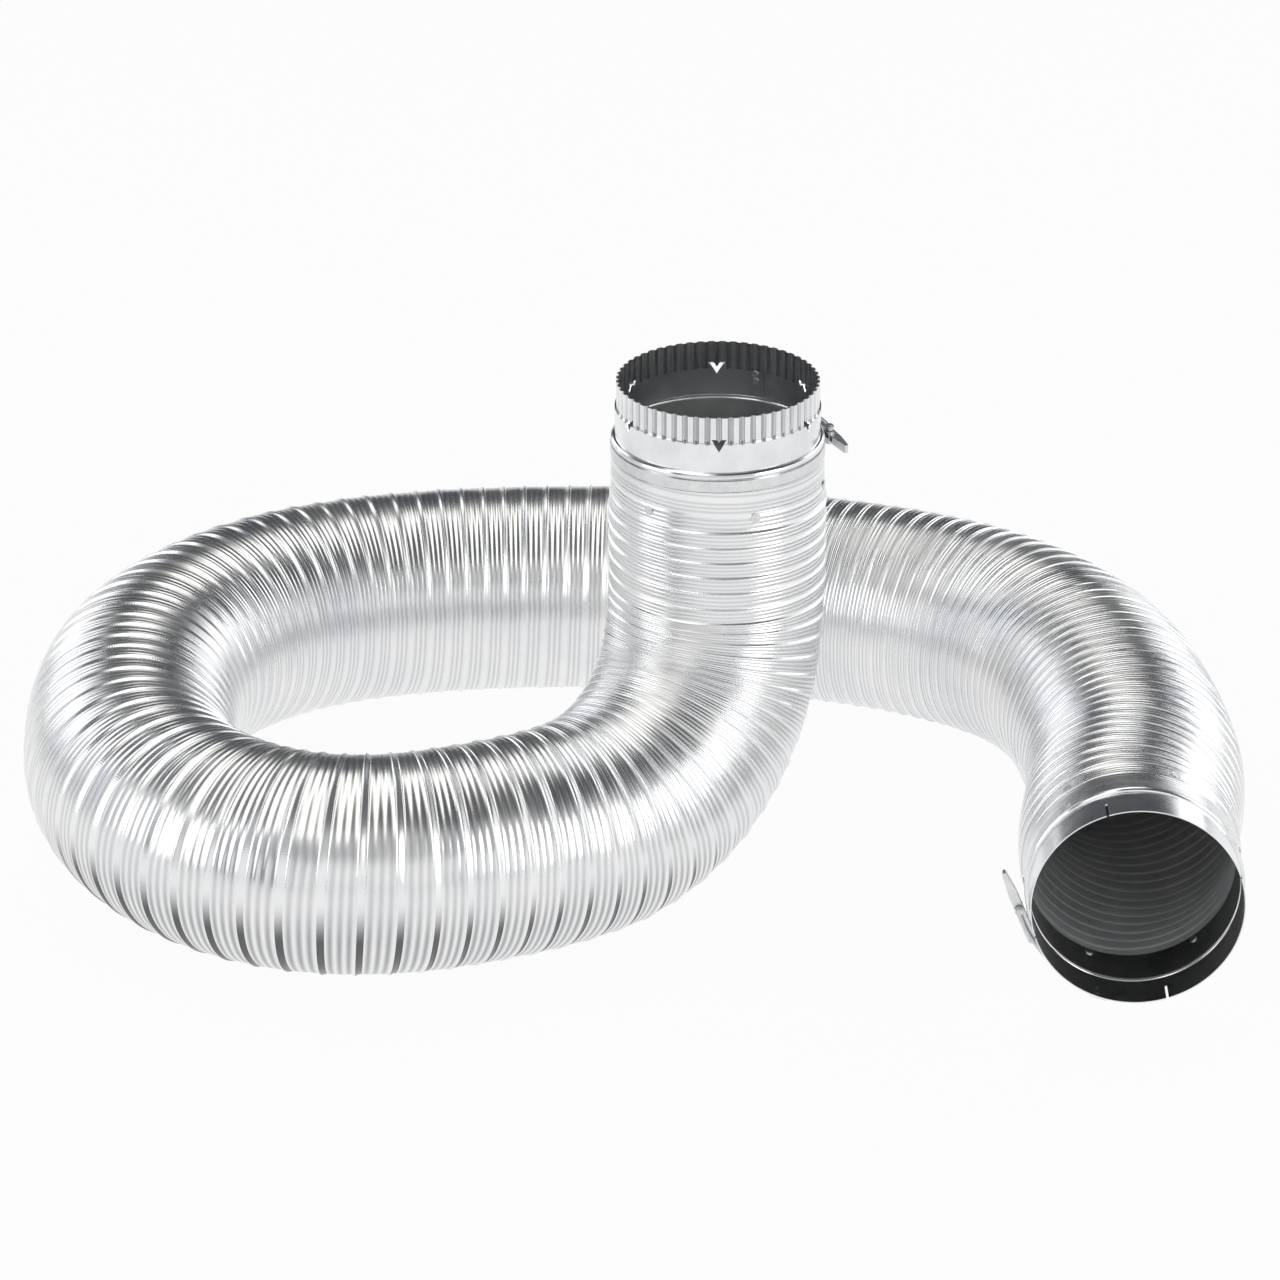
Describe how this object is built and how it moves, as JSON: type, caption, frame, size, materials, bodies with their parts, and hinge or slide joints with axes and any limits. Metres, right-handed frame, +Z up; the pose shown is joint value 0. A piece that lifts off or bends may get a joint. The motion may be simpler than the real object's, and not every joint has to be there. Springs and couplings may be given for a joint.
{
  "type": "flexible air duct",
  "caption": "Ribbed semi-rigid metal air duct lying in a loop, with a crimped collar on its upright end, a plain slotted collar on the other, and a toggle band clamp at each.",
  "frame": {"origin": "on the floor under the middle of the whole duct's box", "axes": "+X to the right across the loop and to the side that the plain end lies on, +Y away from the plain end's mouth, +Z up along the upright crimped end"},
  "size_m": [0.6108, 0.4364, 0.2605],
  "materials": {
    "foil": "bright ribbed aluminium strip with fine embossing",
    "collar_sheet": "bright rolled sheet",
    "clamp_sheet": "bright plated steel strip",
    "wire": "plated steel wire and pins",
    "rivets": "satin aluminium"
  },
  "bodies": {
    "duct": {"hose_right_turn": "foil", "hose_rear_run": "foil", "hose_left_turn": "foil", "hose_front_run": "foil", "hose_neck": "foil", "lower_cuff": "foil", "lower_end_rivets": "rivets", "plain_collar": "collar_sheet", "plain_collar_seam_rivets": "rivets", "lower_clamp_band": "clamp_sheet", "lower_lever_bracket": "clamp_sheet", "lower_catch": "clamp_sheet", "lower_band_rivets": "rivets"},
    "crimped_end": {"upper_cuff": "foil", "upper_end_rivets": "rivets", "crimped_collar": "collar_sheet", "crimped_collar_seam_rivets": "rivets", "upper_clamp_band": "clamp_sheet", "upper_lever_bracket": "clamp_sheet", "upper_catch": "clamp_sheet", "upper_band_rivets": "rivets"},
    "upper_clamp_lever": {"upper_lever": "clamp_sheet", "upper_lever_pin": "wire", "upper_loop_pin": "wire"},
    "upper_clamp_loop": {"upper_loop": "wire"},
    "lower_clamp_lever": {"lower_lever": "clamp_sheet", "lower_lever_pin": "wire", "lower_loop_pin": "wire"},
    "lower_clamp_loop": {"lower_loop": "wire"}
  },
  "joints": [
    {"name": "neck_stretch", "type": "slide", "parent": "duct", "child": "crimped_end", "axis": [0, 0, 1], "range_m": [-0.008, 0.025], "deforming": ["hose_neck"]},
    {"name": "upper_lever_turn", "type": "hinge", "parent": "crimped_end", "child": "upper_clamp_lever", "pos_m": [0.09357, -0.01965, 0.22575], "axis": [0, 0, 1], "range_deg": [0, 95]},
    {"name": "upper_loop_turn", "type": "hinge", "parent": "upper_clamp_lever", "child": "upper_clamp_loop", "pos_m": [0.10012, -0.03588, 0.22575], "axis": [0, 0, 1], "range_deg": [-80, 0]},
    {"name": "lower_lever_turn", "type": "hinge", "parent": "duct", "child": "lower_clamp_lever", "pos_m": [0.19643, -0.18225, 0.02315], "axis": [0, -1, 0], "range_deg": [0, 95]},
    {"name": "lower_loop_turn", "type": "hinge", "parent": "lower_clamp_lever", "child": "lower_clamp_loop", "pos_m": [0.18988, -0.18225, 0.03938], "axis": [0, -1, 0], "range_deg": [-80, 0]}
  ],
  "couplings": [
    {"joint": "upper_loop_turn", "follows": "upper_lever_turn", "ratio": -0.64},
    {"joint": "lower_loop_turn", "follows": "lower_lever_turn", "ratio": -0.64}
  ]
}
